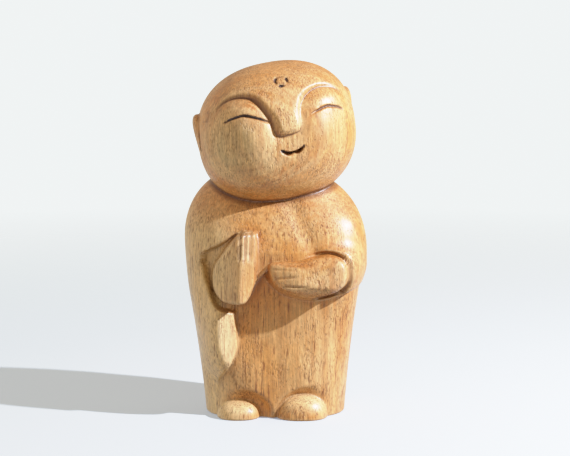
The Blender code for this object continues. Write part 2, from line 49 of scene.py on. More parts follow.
# The blank: one block of light, close-grained wood, carved all over from a single piece.
# Its measure is a part, one two-hundredth of the statue's height, and every form below is given in parts as
# (x to the right, y to the back, z up), before the finished figure is set over the middle of its box.
NODE = "jizo_statue"
FAR = 9.0  # a form's blends never reach this far from it
TINY = 1e-9  # keeps a share off nought, where its slope has no value


def within(points, low, high, form):
    """A form's distance inside its own box; outside, the distance to that box and FAR more."""
    outside = np.linalg.norm(np.maximum(np.maximum(low - points, points - high), 0), axis=-1)
    distance = outside + FAR
    near = outside == 0
    distance[near] = form(points[near])
    return distance


def blend_max(a, b, radius):
    """The larger of two distances; where they are closer than the radius, a parabola rounds their edge."""
    near = np.maximum(radius - np.abs(a - b), 0)
    return np.maximum(a, b) + near**2 / (4 * radius)


def add(wood, form, radius):
    """The smaller of two distances, with the inner corner where the forms meet filled by the radius."""
    return -blend_max(-wood, -form, radius)


def cut(wood, tool, radius):
    """The wood outside the tool: the larger of its distance and the tool's turned inside out."""
    return blend_max(wood, -tool, radius)


def ramp(value, low, high):
    """0 below low, 1 above high, and between them 3 t squared - 2 t cubed."""
    share = np.clip((value - low) / (high - low), 0, 1)
    return share**2 * (3 - 2 * share)


def bump(x, z, centre_x, centre_z, half_x, half_z):
    """A round swelling: e to the minus of the squared offsets, each over its half width."""
    return np.exp(-(((x - centre_x) / half_x) ** 2) - ((z - centre_z) / half_z) ** 2)


# The robe: a column of rounded-square section that widens upwards to the elbows and domes over the shoulders.
# It is sawn and rasped to this shape first, and all that is on the front is cut into it or left standing.
BASE_HALF_WIDTH = 39.8
WIDENING_LEFT = 0.133  # half width gained per part of height
WIDENING_RIGHT = 0.110
ELBOW_HALF_WIDTH = 51.9
ELBOW_FROM, ELBOW_TO = 71.5, 86.0
ELBOW_ROUND = 2.5  # the left side eases into the elbow by this radius
WAIST_IN = 0.8  # the sides run in by this much half way up to the elbows
ROBE_SQUARENESS = 2.5
WAIST_SQUARENESS = 0.6  # more square by this below the elbows, coming and going
WAIST_COMES, WAIST_GOES = (5, 40), (65, 100)  # over these heights
ARM_SQUARENESS = 0.9  # and by this at the right forearm: how far across, forward and up
ARM_ACROSS, ARM_FORWARD = (-5, 20), (-10, 10)
ARM_COMES, ARM_GOES = (55, 80), (108, 125)
DOME_SQUARENESS = 2.3
HEM_FRONT = 28.5
CHEST_FRONT = 34.5
CHEST_SWELLS = (12, 60)  # the heights between which the front swells to the chest's
CHEST_SLOPE = 0.20
BACK_DEPTH = 27.0
SHOULDER_BACK = 32.5
BACK_SWELLS = (0, 90)
SHOULDER_HEIGHT = 94.7
SHOULDER_RISE = 47.0
SHOULDER_TILT = 0.062
SOLE_EASE = 0.8  # the edge of the underside is broken by this much


def upright(points, front):
    """Distance to the column: x over half width and y over half depth, to a power, sum to 1 on each level,
    and above the shoulders that sum joins the height over the dome's rise in the same way."""
    x, y, z = points.T
    left = add(BASE_HALF_WIDTH + WIDENING_LEFT * z, ELBOW_HALF_WIDTH + 0 * z, ELBOW_ROUND)
    right = BASE_HALF_WIDTH + WIDENING_RIGHT * np.minimum(z, ELBOW_TO)
    right = right + (ELBOW_HALF_WIDTH - right) * ramp(z, ELBOW_FROM, ELBOW_TO)
    waist = WAIST_IN * np.sin(math.pi * np.clip(z / ELBOW_FROM, 0, 1))
    half_width = np.where(x < 0, left, right) - waist
    half_depth = np.where(y < 0, front, BACK_DEPTH + (SHOULDER_BACK - BACK_DEPTH) * ramp(z, *BACK_SWELLS))
    arm = ramp(x, *ARM_ACROSS) * ramp(-y, *ARM_FORWARD) * ramp(z, *ARM_COMES) * (1 - ramp(z, *ARM_GOES))
    below_elbows = ramp(z, *WAIST_COMES) * (1 - ramp(z, *WAIST_GOES))
    square = ROBE_SQUARENESS + WAIST_SQUARENESS * below_elbows + ARM_SQUARENESS * arm
    across = np.abs(x) / half_width + TINY
    deep = np.abs(y) / half_depth + TINY
    over = np.maximum(z - SHOULDER_HEIGHT + SHOULDER_TILT * x, 0) / SHOULDER_RISE
    section = (across**square + deep**square) ** (1 / square)
    size = (section**DOME_SQUARENESS + over**DOME_SQUARENESS) ** (1 / DOME_SQUARENESS)
    outward = (section / size) ** (DOME_SQUARENESS - 1)
    slope_x = outward * (across / section) ** (square - 1) / half_width
    slope_y = outward * (deep / section) ** (square - 1) / half_depth
    slope_z = (over / size) ** (DOME_SQUARENESS - 1) / SHOULDER_RISE
    return (size - 1) / np.sqrt(slope_x**2 + slope_y**2 + slope_z**2)


def robe(points):
    """The outer robe: the column with a fuller chest that leans back above the hands."""
    z = points[:, 2]
    front = HEM_FRONT + (CHEST_FRONT - HEM_FRONT) * ramp(z, *CHEST_SWELLS)
    return upright(points, front - CHEST_SLOPE * np.maximum(z - SHOULDER_HEIGHT, 0))


# The under-robe: the front is cut back below the arms to a smoother skirt, which the knees push out a little.
# The cut runs from the hanging sleeve on the left, under the hands, round to the right elbow.
SKIRT_FRONT = 27.0
SKIRT_FALLS = (5, 55)  # the heights between which its front falls back from the hem's
KNEES = ((16.0, 28.0, 1.4), (-16.0, 26.0, 0.8))  # across, up and how far each pushes the cloth out
KNEE_HALF = (11, 10)
PANEL_LEFT = ((-36, -12), (-33.5, 8), (-31.4, 21.5), (-25.1, 31.2), (-21.2, 41.5), (-22.0, 54), (-22.8, 63))
PANEL_TOP = ((-15.0, 72.0), (-8.8, 80.6), (-5.0, 84.6), (-2.8, 88.5), (8, 88), (20, 80))
PANEL_RIGHT = ((27, 69.2), (35, 70.5), (43, 73.0), (52, 77.5), (62, 84))
PANEL_OUTSIDE = ((75, 84), (75, -12))
PANEL_DEPTH = 4.0  # y of its floor, before the skirt fills it
PANEL_BOX = ((-60, -60, -20), (80, PANEL_DEPTH + 2, 100))
PANEL_EDGE = 1.2  # the rounding of its rim, and of the corner where the skirt meets it
SKIRT_CORNER = 1.0


def curve(corners, closed=False, steps=3):
    """A Catmull-Rom line: between two corners, a cubic whose slope at each is half the step past it."""
    corners = np.array(corners, float)
    if closed:
        padded = np.concatenate([corners[-1:], corners, corners[:2]])
    else:
        padded = np.concatenate([2 * corners[:1] - corners[1:2], corners, 2 * corners[-1:] - corners[-2:-1]])
    t = (np.arange(steps) / steps)[:, None]
    spans = []
    for before, start, end, after in zip(padded, padded[1:], padded[2:], padded[3:]):
        squared = 2 * before - 5 * start + 4 * end - after
        cubed = 3 * start - before - 3 * end + after
        spans.append(start + ((end - before) * t + (squared * t**2 + cubed * t**3)) / 2)
    if not closed:
        spans.append(corners[-1:])
    return np.concatenate(spans)


def line_distance(x, z, line):
    """Distance to a line in the front view: the least of the distances to its straight steps. Also how far
    along the line the nearest point lies, 0 to 1."""
    steps = np.diff(line, axis=0)
    lengths = np.hypot(*steps.T)
    travelled = np.concatenate([[0], np.cumsum(lengths)])
    nearest = np.full(x.shape, np.inf)
    along = np.zeros(x.shape)
    for (ax, az), (dx, dz), length, before in zip(line, steps, lengths, travelled):
        share = np.clip(((x - ax) * dx + (z - az) * dz) / length**2, 0, 1)
        gap = np.hypot(x - ax - share * dx, z - az - share * dz)
        closer = gap < nearest
        nearest = np.where(closer, gap, nearest)
        along = np.where(closer, (before + share * length) / travelled[-1], along)
    return nearest, along


def outline_distance(x, z, outline):
    """Distance to a closed outline in the front view, negative inside it: a point is inside when a level line
    from it crosses the outline an odd number of times."""
    nearest, _ = line_distance(x, z, np.concatenate([outline, outline[:1]]))
    inside = np.zeros(x.shape, bool)
    for (ax, az), (bx, bz) in zip(outline, np.roll(outline, -1, axis=0)):
        crossed = (az > z) != (bz > z)
        inside ^= crossed & (x < ax + (bx - ax) * (z - az) / (bz - az + TINY))
    return np.where(inside, -nearest, nearest)


def skirt(points):
    """The under-robe: the same column with a nearly straight front, and a bell of cloth over each knee."""
    x, _, z = points.T
    front = HEM_FRONT + (SKIRT_FRONT - HEM_FRONT) * ramp(z, *SKIRT_FALLS)
    for knee_x, knee_z, push in KNEES:
        front = front + push * bump(x, z, knee_x, knee_z, *KNEE_HALF)
    return upright(points, front)


PANEL = np.concatenate([curve(PANEL_LEFT), PANEL_TOP, curve(PANEL_RIGHT), PANEL_OUTSIDE])


def panel(points):
    """The panel's outline driven straight back to its depth: the larger of the distances to the two."""
    return np.maximum(outline_distance(points[:, 0], points[:, 2], PANEL), points[:, 1] - PANEL_DEPTH)


def open_panel(wood, points):
    """Cuts the panel out, then puts the skirt inside it."""
    wood = cut(wood, within(points, *PANEL_BOX, panel), PANEL_EDGE)
    front = points[:, 1] < PANEL_BOX[1][1]
    under = wood.copy()
    under[front] = skirt(points[front])
    return add(wood, under, SKIRT_CORNER)


# The sleeves: on the left one hangs to its point in a thick fold with a flat knife-cut face, and its mouth is
# hollowed round the raised hand. On the right it wraps the folded forearm, with a crease from the neck.
FOLD = ((-27.5, -16.0, 50.0), (13.0, 20.0, 29.0), 2.4)  # a ball's centre, half sizes and power
SLEEVE_CUT_AT = (-30.0, -35.0, 45.0)
SLEEVE_CUT_FACING = (0.52, -0.85, 0.03)
SLEEVE_CUT_TOP = 64.0  # the knife's cut stops at this height, and at this far across
SLEEVE_CUT_RIGHT = -14.0
SLEEVE_CUT_EDGE = 0.4
SLEEVE_MOUTH = curve(((-20, 105.8), (-31, 99.3), (-40.5, 93.8), (-41.2, 84), (-38.6, 75), (-32.4, 63.2),
                      (-14, 63), (-14, 96)), closed=True, steps=5)
SLEEVE_MOUTH_SINK = 5.5
SLEEVE_MOUTH_SHALLOW = 0.65  # the share of its depth that it loses towards the fingertips,
FINGERTIPS_ACROSS, FINGERTIPS_UP = (-36, -22), (86, 100)  # which come in over these widths and heights
SLEEVE_MOUTH_WALL = (1.4, 4.5)  # how wide the slope into the mouth is at its lip, and on its left,
MOUTH_LEFT, MOUTH_UP = (30, 38), (84, 93)  # and the widths and heights over which one becomes the other
SLEEVE_MOUTH_HEIGHTS = (50, 118)
ARM_CREASE = curve(((3, 130), (8.5, 121), (15, 108), (21.5, 95)))
ARM_CREASE_WIDTH = 5.0
ARM_CREASE_DEPTH = 1.5
ARM_CREASE_HEIGHTS = (80, 145)
FOREARM = ((33.0, -18.0, 84.5), (14.5, 19.5, 14.5), 2.5)
SLEEVE_JOIN = 5.0  # fold and forearm run into the robe by this radius


def ball(points, centre, half, power):
    """Distance to a squarish ball: the sum of (offset over half size) to the power is 1 on it, and that sum's
    root less 1, over its slope, is close to the true distance."""
    share = np.abs(points - centre) / half + TINY
    size = (share**power).sum(-1, keepdims=True) ** (1 / power)
    slope = np.sqrt((((share / size) ** (power - 1) / half) ** 2).sum(-1))
    return (size[:, 0] - 1) / slope


def flat(points, point, facing):
    """Distance in front of a plane: the offset from a point on it, measured along the way it faces."""
    facing = np.array(facing) / np.linalg.norm(facing)
    return (points - point) @ facing


def sleeve_mouth(wood, points):
    """The mouth's outline sunk to a floor that follows the robe at an even depth, down a slope that is steep
    under the lip and easier on the left."""
    x, _, z = points.T
    crisp, easy = SLEEVE_MOUTH_WALL
    wall = crisp + (easy - crisp) * ramp(-x, *MOUTH_LEFT) * (1 - ramp(z, *MOUTH_UP))
    by_fingertips = ramp(x, *FINGERTIPS_ACROSS) * ramp(z, *FINGERTIPS_UP)
    sink = SLEEVE_MOUTH_SINK * (1 - SLEEVE_MOUTH_SHALLOW * by_fingertips)
    return wood + sink * ramp(-outline_distance(x, z, SLEEVE_MOUTH), 0, wall)


def in_front(points, heights):
    """Which points lie before the middle plane and between two heights."""
    return (points[:, 1] < 0) & (points[:, 2] > heights[0]) & (points[:, 2] < heights[1])


def sleeves(wood, points):
    """The robe with the fold added, the flat face sliced, the mouth hollowed, the crease pressed in as e to
    the minus of the squared distance over its width, and the forearm added."""
    x, y, z = points.T
    wood = add(wood, ball(points, *FOLD), SLEEVE_JOIN)
    block = np.maximum(np.maximum(x - SLEEVE_CUT_RIGHT, z - SLEEVE_CUT_TOP), y)
    before_cut = -flat(points, SLEEVE_CUT_AT, SLEEVE_CUT_FACING)
    wood = cut(wood, np.maximum(before_cut, block), SLEEVE_CUT_EDGE)
    front = in_front(points, SLEEVE_MOUTH_HEIGHTS) & (x < 0)
    wood[front] = sleeve_mouth(wood[front], points[front])
    front = in_front(points, ARM_CREASE_HEIGHTS)
    crease, _ = line_distance(x[front], z[front], ARM_CREASE)
    wood[front] += ARM_CREASE_DEPTH * np.exp(-((crease / ARM_CREASE_WIDTH) ** 2))
    return add(wood, ball(points, *FOREARM), SLEEVE_JOIN)


# The hands: the one on the left is raised, a wedge of two flat faces that meet on a ridge; the other lies
# open across the front in its cuff. Both are knife-cut from the same block, with their fingers only scored.
RAISED_HAND = curve(((-19.5, 106.2), (-14.6, 107.0), (-10.9, 105.4), (-10.2, 98.7), (-10.3, 86.8),
                     (-11.6, 77.6), (-15.6, 68.5), (-21.5, 67.0), (-28.4, 67.5), (-33.2, 71.8),
                     (-35.0, 79.0), (-34.0, 87.0), (-30.6, 92.6), (-25.6, 99.6)), closed=True)
RAISED_RIDGE_X = -19.4  # across at the knuckles; upwards the ridge leans to the right
RAISED_RIDGE_LEAN = 0.03
RAISED_KNUCKLES = 88.0
RAISED_RIDGE_Y = -42.0
RAISED_RIDGE_ROUND = 0.6
RAISED_TIPS = (90.0, 0.16)  # above this height the fingers lean back by this slope
RAISED_BACK_FACE = (-0.60, -0.80)  # the way each plane faces, across and back
RAISED_FINGER_FACE = (0.34, -0.94)
RAISED_EDGE = 1.8
RAISED_BOX = ((-44, -52, 58), (-2, 2, 116))
RAISED_JOIN = 0.8
HAND_BACK = -16.0  # both hands end here, inside the wood
OPEN_HAND = curve(((-3.2, 88.4), (4.0, 89.6), (13.0, 90.2), (21.5, 92.0), (28.0, 93.2), (34.0, 92.2),
                   (38.2, 88.9), (39.6, 83.2), (38.6, 77.6), (34.2, 73.6), (26.4, 71.0), (17.4, 70.6),
                   (9.0, 72.4), (2.6, 75.8), (-1.6, 80.7)), closed=True)
OPEN_HAND_FACES = (  # a point on each flat, and the way it faces
    ((14.0, -41.0, 81.0), (0.08, -0.98, 0.18)),
    ((14.0, -40.3, 86.5), (0.0, -0.78, 0.62)),
    ((12.0, -40.9, 81.0), (-0.22, -0.97, 0.05)),
    ((34.0, -40.9, 82.0), (0.47, -0.84, -0.26)),
    ((14.0, -40.3, 75.5), (0.0, -0.80, -0.60)),
)
OPEN_HAND_ROUND = 1.0  # the rounding between its flats, and at its rim
OPEN_HAND_EDGE = 2.2
OPEN_HAND_BOX = ((-12, -52, 62), (48, 2, 102))
OPEN_HAND_JOIN = 0.6
OPEN_HAND_DRAFT = (0.35, -36.5)  # the spread of its sides per part of depth, true at this y
CUFF_GAP = (1.4, 0.2, 2.0)  # the gap round the heel: how far outside it, and its V's half widths
CUFF_FROM = (17.0, 28.0)  # across, where the gap opens and where it is full depth
CUFF_CUT = 2.4
FINGERS = (  # each score's ends, then its half width and depth
    ((-19.0, 106.0), (-19.4, 87.0), 0.6, 1.5),
    ((-16.3, 106.0), (-16.6, 88.0), 0.6, 1.6),
    ((-13.6, 106.0), (-14.0, 89.0), 0.6, 1.6),
    ((-1.0, 86.1), (14.5, 86.4), 0.45, 0.35),
    ((0.0, 81.1), (15.0, 82.8), 0.45, 0.5),
    ((5.7, 77.2), (18.7, 76.9), 0.5, 0.75),
)
SCORE_END = 3.0  # a score dies out over one part in this many of its length
HANDS_BEFORE = 2.0  # all of both hands lies before this y, and between these heights
HANDS_HEIGHTS = (55, 122)


def raised_hand(points):
    """The back and finger planes through the leaning ridge, trimmed by the hand's outline."""
    x, y, z = points.T
    tips_from, tips_lean = RAISED_TIPS
    from_ridge = x - RAISED_RIDGE_X - RAISED_RIDGE_LEAN * (z - RAISED_KNUCKLES)
    proud = y - RAISED_RIDGE_Y - tips_lean * np.maximum(z - tips_from, 0)
    back = RAISED_BACK_FACE[0] * from_ridge + RAISED_BACK_FACE[1] * proud
    fingers = RAISED_FINGER_FACE[0] * from_ridge + RAISED_FINGER_FACE[1] * proud
    rim = outline_distance(x, z, RAISED_HAND)
    wedge = blend_max(back, fingers, RAISED_RIDGE_ROUND)
    return np.maximum(blend_max(wedge, rim, RAISED_EDGE), y - HAND_BACK)


def open_hand(points):
    """Palm, upper edge, fingers, heel and lower edge: five flats rounded together, cut to the outline."""
    flats = flat(points, *OPEN_HAND_FACES[0])
    for point, facing in OPEN_HAND_FACES[1:]:
        flats = blend_max(flats, flat(points, point, facing), OPEN_HAND_ROUND)
    draft, true_y = OPEN_HAND_DRAFT
    rim = outline_distance(points[:, 0], points[:, 2], OPEN_HAND) - draft * (points[:, 1] - true_y)
    return np.maximum(blend_max(flats, rim, OPEN_HAND_EDGE), points[:, 1] - HAND_BACK)


def finger_scores(points):
    """How deep the scores between the fingers go: a V along each line that dies out towards its end."""
    x, _, z = points.T
    depth = np.zeros(len(points))
    for start, end, half_width, deepest in FINGERS:
        gap, along = line_distance(x, z, np.array([start, end]))
        fade = np.minimum(1, SCORE_END * (1 - along))
        depth = np.maximum(depth, deepest * (1 - ramp(gap, 0, 2 * half_width)) * fade)
    return depth


def hands(wood, points):
    """Adds both hands, scores their fingers and cuts a V between the open hand's heel and its cuff."""
    low, high = HANDS_HEIGHTS
    near = (points[:, 1] < HANDS_BEFORE) & (points[:, 2] > low) & (points[:, 2] < high)
    place = points[near]
    local = wood[near]
    local = add(local, within(place, *RAISED_BOX, raised_hand), RAISED_JOIN)
    local = add(local, within(place, *OPEN_HAND_BOX, open_hand), OPEN_HAND_JOIN)
    rim = outline_distance(place[:, 0], place[:, 2], OPEN_HAND)
    gap = CUFF_CUT * (1 - ramp(np.abs(rim - CUFF_GAP[0]), *CUFF_GAP[1:])) * ramp(place[:, 0], *CUFF_FROM)
    wood[near] = local + finger_scores(place) + gap
    return wood


# The feet: two round toes under coves gouged in the hem, with a spur of cloth left between them. They are
# worked from the same block, and the gouge leaves the coves a little hollow.
FEET = (  # x and half sizes of the foot, then of the cove, and the cove's lean
    (-20.7, (12.4, 13.0, 10.4), -17.6, (16.0, 6.0, 15.8), -0.10),
    (14.9, (14.9, 14.0, 13.7), 15.4, (16.2, 6.0, 17.4), 0.25),
)
FOOT_Y = -20.0
COVE_Y = -28.5
FOOT_SQUARENESS = 2.3
COVE_EDGE = 2.6
FOOT_JOIN = 0.8
FEET_BELOW = 36  # feet and coves lie below this height and before this y
FEET_BEFORE = 16


def feet(wood, points):
    """Scoops a leaning squarish ball out of the hem over each foot, then adds the foot, another such ball."""
    low = (points[:, 2] < FEET_BELOW) & (points[:, 1] < FEET_BEFORE)
    place = points[low]
    local = wood[low]
    for foot_x, foot_half, cove_x, cove_half, lean in FEET:
        leaning = place - np.outer(place[:, 2], (lean, 0, 0))
        local = cut(local, ball(leaning, (cove_x, COVE_Y, 0), cove_half, FOOT_SQUARENESS), COVE_EDGE)
        local = add(local, ball(place, (foot_x, FOOT_Y, 0), foot_half, FOOT_SQUARENESS), FOOT_JOIN)
    wood[low] = local
    return wood


# The head: a squarish ball turned and tipped on the shoulders, with two long ears left standing on its sides.
# The face is cut into the front: brows that run down into the nose, closed smiling eyes and a small mouth.
HEAD_CENTRE = (0.7, -7.0, 160.2)
HEAD_HALF = (44.6, 36.0, 39.5)
HEAD_BACK = 37.5
HEAD_SQUARENESS = 2.33
HEAD_SLANT = -0.035
HEAD_TURN = 10.0
HEAD_TIP = 10.3
HEAD_JOIN = 0.8
HEAD_BOX = ((-60, -60, 112), (60, 60, 215))
EAR = ((41.3, 4.5, 6.0), (4.2, 6.5, 12.0), 2.5)
EAR_FLARE = (0.12, 6.0)  # its lean outwards per part of height above this one
EAR_JOIN = 1.2
EAR_FURROW = ((44.0, -3.4, 5.5), (2.0, 1.3, 9.5), 2)
EAR_FURROW_EDGE = 1.0
EAR_BOWL = ((48.5, 4.5, 8.0), (4.0, 3.0, 8.0), 2)
EAR_BOWL_EDGE = 0.8
FACE_TIP = 7.0
FACE_FADE = (2, 14)  # the relief comes in between these depths before the head's middle
BROW_EDGE = curve(((-40, 12), (-37.2, 16.4), (-32.7, 21.9), (-27.1, 25.1), (-21.3, 26.3), (-16.2, 26),
                   (-12.4, 24.4), (-9.7, 21), (-7.5, 16.5), (-5.3, 10.9), (-4.3, 6), (-4.0, 3.4), (-3.2, 1.8),
                   (-0.4, 1.4), (3.4, 1.7), (6.2, 2.4), (7.3, 4.6), (7.2, 8.4), (6.5, 12.1), (6.7, 16),
                   (8, 19.6), (10.6, 22.8), (14.4, 25), (18.8, 26), (24, 26.2), (29.5, 25), (34.5, 21.5),
                   (38, 16)))
FOREHEAD = np.concatenate([BROW_EDGE, [[60, 14], [60, 80], [-60, 80], [-60, 10]]])
GROOVE = np.array((  # how far along the edge, then the V's width and depth there
    (0.00, 0.3, 0.0), (0.06, 1.2, 0.3), (0.14, 2.4, 1.2), (0.21, 3.8, 2.1), (0.27, 5.0, 2.8),
    (0.33, 4.6, 2.8), (0.40, 3.5, 2.3), (0.46, 3.1, 2.0), (0.49, 2.0, 1.9), (0.51, 1.5, 1.8),
    (0.55, 1.1, 1.3), (0.58, 0.9, 1.0), (0.61, 1.3, 1.1), (0.66, 3.1, 1.8), (0.71, 4.0, 2.2),
    (0.76, 3.9, 2.1), (0.82, 2.8, 1.6), (0.89, 2.6, 1.0), (0.95, 2.0, 0.4), (1.00, 1.0, 0.0)))
WALL_BROW = 1.9  # the power of the wall's slope under the brow, and beside the nose,
WALL_NOSE = 1.15  # which lies between these shares of the way along the edge
NOSE_STARTS, NOSE_ENDS = (0.28, 0.35), (0.58, 0.64)
GROOVE_RISE = 5.5  # the lid beyond the V climbs back to the ball over about this far
SOCKET = (20.0, 17.0, 12.0, 8.0, 0.3)  # the eye's shallow hollow: across, up, two half widths and depth
NOSE_PROUD = 0.8
NOSE_EDGE = 1.6  # the proud nose comes down to the V within this
NOSE_FADES = (2, 22)  # and is level with the forehead between these heights
NOSE_ROUND = (1.5, 0.0125, 8)  # its ridge across, how fast it falls away on both sides, and how far
ROUND_FADES = (4, 30)
CHEEK = (19.0, -1.0, 10.0, 13.0, 1.2)  # across, up, two half widths and height, as for the eyelid
EYE = curve(((8.0, 8.0), (12.4, 10.3), (16, 11.8), (20.8, 13.4), (23.7, 13.6), (29.1, 12.2), (32.9, 10.2)))
EYE_RIGHT = (1.4, -0.5)  # the right eye is cut this much further out and lower
EYE_START = (4.0, 0.25, 6.0)  # and starts this much further from the nose, at this share of its
EYE_CUT = 1.5  # full depth, which it reaches over the third
EYE_ABOVE = 0.4  # the slit's width above its line, and its slope below
EYE_BELOW = (0.2, 1.6)
EYE_THINNING = 0.6  # the power by which it thins towards its ends
EYELID = (21.0, 17.0, 11.0, 5.0, 1.0)
SMILE_ACROSS = 2.2
SMILE_TILT = 0.115
SMILE_HALF_WIDTH = 6.4
SMILE_HEIGHT = -9.0
SMILE_CURL = (2.4, 2.2)  # how far its ends rise, and the power by which they do
SMILE_OPEN = (1.6, 0.05)  # the lobes' height, and how much is left of it in the middle
SMILE_CUT = 2.6
SMILE_EDGE = (-0.3, 0.15)  # the cut's upper wall, and its lower wall below the opening
SMILE_FLOOR_EDGE = (-0.2, 0.5)
SMILE_ENDS = (0.86, 1.04)  # shares of the half width over which the cut runs out
LIP_SCOOP = 1.5
LIP_HEIGHT = (3.4, 0.7)  # in the middle, and the share that it loses at the ends
URNA = (1.4, 28.9, 3.2, 2.5)  # across, up and half sizes of the small ring on the forehead
URNA_CUT = 1.1
URNA_LINE = (0.1, 0.75)  # the line's full depth and its edge, from its middle
URNA_FAINT = 0.25  # its share of the depth between the strokes
URNA_STROKES = ((math.pi * 0.95, 0.8), (-math.pi * 0.55, 0.5), (0.1, 0.6))  # each one's middle and reach


def directions(turn, tip):
    """Across, back and up of a form turned to the right and then tipped right side up, as columns."""
    a = math.radians(turn)
    b = math.radians(tip)
    turned = np.array([[math.cos(a), -math.sin(a), 0], [math.sin(a), math.cos(a), 0], [0, 0, 1]])
    tipped = np.array([[math.cos(b), 0, -math.sin(b)], [0, 1, 0], [math.sin(b), 0, math.cos(b)]])
    return turned @ tipped


def groove(across, up):
    """The V along the edge of the brow and nose: how far outside the edge and beyond the V's foot a place is,
    and how deep its wall is there. It steepens to its foot under the brow, and is straight by the nose."""
    nearest, along = line_distance(across, up, BROW_EDGE)
    outside = np.where(outline_distance(across, up, FOREHEAD) > 0, nearest, 0)
    wall = np.interp(along, GROOVE[:, 0], GROOVE[:, 1])
    beside_nose = ramp(along, *NOSE_STARTS) * (1 - ramp(along, *NOSE_ENDS))
    steepening = WALL_BROW + (WALL_NOSE - WALL_BROW) * beside_nose
    depth = np.interp(along, GROOVE[:, 0], GROOVE[:, 2]) * np.clip(outside / wall, 0, 1) ** steepening
    return nearest, along, outside, np.maximum(outside - wall, 0), depth


def brow_and_nose(across, up):
    """The forehead keeps the ball's surface and runs down into the nose, which stands proud and is rounded
    off from its ridge. Along its edge lies the V, and beyond it the face rises again, less and less."""
    nearest, _, outside, beyond, depth = groove(across, up)
    nose = NOSE_PROUD * (1 - ramp(up, *NOSE_FADES)) * (outside == 0) * ramp(nearest, 0, NOSE_EDGE)
    ridge, fall, reach = NOSE_ROUND
    round_off = fall * np.minimum(np.abs(across - ridge), reach) ** 2 * (1 - ramp(up, *ROUND_FADES))
    return nose - (depth + round_off) * np.exp(-beyond / GROOVE_RISE)


def eyes(across, up):
    """A slit along each closed lid, steep above and sloping below, thins to nothing at both ends; the lid
    swells over it in a shallow hollow."""
    right = across > 0
    side = np.where(right, across - EYE_RIGHT[0], -across)
    level = np.where(right, up - EYE_RIGHT[1], up)
    gap, along = line_distance(side, level, EYE)
    above = np.where(level > np.interp(side, EYE[:, 0], EYE[:, 1]), gap, -gap)
    slit = np.where(above > 0, 1 - ramp(above, 0, EYE_ABOVE), 1 - ramp(-above, *EYE_BELOW))
    slit = slit * np.sin(math.pi * along) ** EYE_THINNING
    later, faint, run = EYE_START
    begins = EYE[0, 0] + later
    slit = np.where(right, slit * (faint + (1 - faint) * ramp(side, begins, begins + run)), slit)
    hollow = SOCKET[4] * bump(side, up, *SOCKET[:4])
    return EYELID[4] * bump(side, up, *EYELID[:4]) - hollow - EYE_CUT * slit


def mouth(across, up):
    """A smiling line that opens into two thin dark lobes, with the lower lip scooped below it."""
    across = across - SMILE_ACROSS
    out = np.clip(np.abs(across) / SMILE_HALF_WIDTH, 0, 1)
    rise, power = SMILE_CURL
    lip = SMILE_HEIGHT + rise * out**power + SMILE_TILT * across
    below = lip - up
    height, shut = SMILE_OPEN
    opening = height * np.sin(math.pi * (shut + (1 - shut) * out))
    dark = ramp(below, *SMILE_EDGE) * (1 - ramp(below - opening, *SMILE_FLOOR_EDGE))
    full, lost = LIP_HEIGHT
    scoop = ramp(below, *SMILE_EDGE) * np.clip(1 - below / (full * (1 - lost * out**2)), 0, 1)
    ends = 1 - ramp(np.abs(across) / SMILE_HALF_WIDTH, *SMILE_ENDS)
    return -(SMILE_CUT * dark + LIP_SCOOP * scoop) * ends


def urna(across, up):
    """A small flattened ring cut with three short strokes: its depth comes and goes round it."""
    x = (across - URNA[0]) / URNA[2]
    z = (up - URNA[1]) / URNA[3]
    ring = np.abs(np.hypot(x, z) - 1) * URNA[3]
    angle = np.arctan2(z, x)
    stroke = sum(ramp(np.cos(angle - centre), math.cos(reach), math.cos(reach / 2))
                 for centre, reach in URNA_STROKES)
    share = URNA_FAINT + (1 - URNA_FAINT) * np.minimum(stroke, 1)
    return -URNA_CUT * (1 - ramp(ring, *URNA_LINE)) * share


def face_relief(across, up):
    """How far the carved face stands out from the ball of the head, by place on the face."""
    cheeks = CHEEK[4] * bump(np.abs(across), up, *CHEEK[:4])
    return brow_and_nose(across, up) + eyes(across, up) + cheeks + urna(across, up) + mouth(across, up)


def head(points):
    """The squarish ball, deeper behind than in front, with the face's relief, an ear on each side and the
    furrow cut in front of each ear."""
    local = (points - HEAD_CENTRE) @ directions(HEAD_TURN, HEAD_TIP)
    local[:, 0] += HEAD_SLANT * local[:, 2]
    half = np.tile(HEAD_HALF, (len(local), 1))
    half[:, 1] = np.where(local[:, 1] > 0, HEAD_BACK, HEAD_HALF[1])
    wood = ball(local, (0, 0, 0), half, HEAD_SQUARENESS)
    face = (points - HEAD_CENTRE) @ directions(HEAD_TURN, FACE_TIP)
    front = face[:, 1] < -FACE_FADE[0]
    relief = face_relief(face[front, 0], face[front, 2])
    wood[front] -= relief * ramp(-face[front, 1], *FACE_FADE)
    flare, level = EAR_FLARE
    local[:, 0] = np.abs(local[:, 0]) - flare * (local[:, 2] - level)
    ear = cut(ball(local, *EAR), ball(local, *EAR_BOWL), EAR_BOWL_EDGE)
    return cut(add(wood, ear, EAR_JOIN), ball(local, *EAR_FURROW), EAR_FURROW_EDGE)


